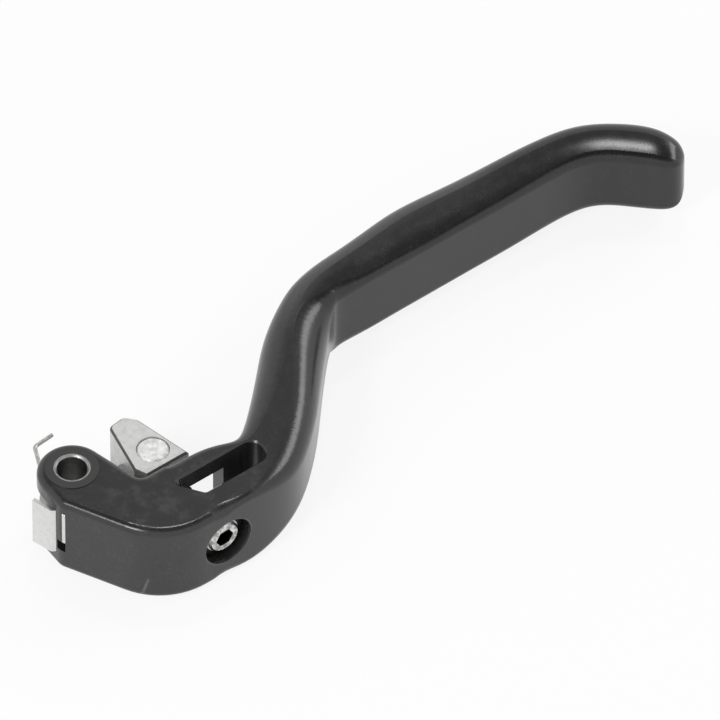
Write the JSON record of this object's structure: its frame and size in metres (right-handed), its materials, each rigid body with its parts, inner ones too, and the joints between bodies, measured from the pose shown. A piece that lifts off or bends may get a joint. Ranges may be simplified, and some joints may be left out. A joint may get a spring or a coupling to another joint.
{
  "type": "bicycle brake lever",
  "caption": "Black bent bicycle brake lever with a sleeved pivot boss, a reach screw that swings a pale thrust lever, a stop plate and a coiled return spring.",
  "frame": {"origin": "on the pivot axis, at the lever's mid height", "axes": "+Z along the pivot, +X along the finger blade towards its tip, +Y towards the handlebar and away from the fingers"},
  "size_m": [0.1305, 0.0373, 0.0164],
  "materials": {
    "black_anodised": "black satin anodised",
    "bare_aluminium": "bare, fine blasted",
    "bright_steel": "bright zinc plated",
    "sleeve_steel": "turned",
    "spring_steel": "drawn wire",
    "black_rubber": "matt"
  },
  "bodies": {
    "lever": {"lever_blade": "black_anodised", "pivot_sleeve": "sleeve_steel", "hub_shim": "sleeve_steel", "friction_washer": "black_rubber", "return_spring": "spring_steel", "stop_plate": "bright_steel"},
    "screw": {"reach_screw": "bright_steel", "screw_clip": "spring_steel"},
    "thrust": {"thrust_lever": "bare_aluminium"},
    "trunnion": {"trunnion_nut": "bright_steel"}
  },
  "joints": [
    {"name": "reach_turn", "type": "hinge", "parent": "lever", "child": "screw", "pos_m": [0.01475, -0.018, 0], "axis": [0, 1, 0], "range_deg": [-540, 540]},
    {"name": "thrust_swing", "type": "hinge", "parent": "lever", "child": "thrust", "pos_m": [0, 0, 0], "axis": [0, 0, 1], "range_deg": [-4.5, 4.5]},
    {"name": "trunnion_turn", "type": "hinge", "parent": "thrust", "child": "trunnion", "pos_m": [0.01475, -0.0019, 0], "axis": [0, 0, 1], "range_deg": [-4.5, 4.5]}
  ],
  "couplings": [
    {"joint": "thrust_swing", "follows": "reach_turn", "ratio": -0.007553},
    {"joint": "trunnion_turn", "follows": "reach_turn", "ratio": 0.007553}
  ]
}
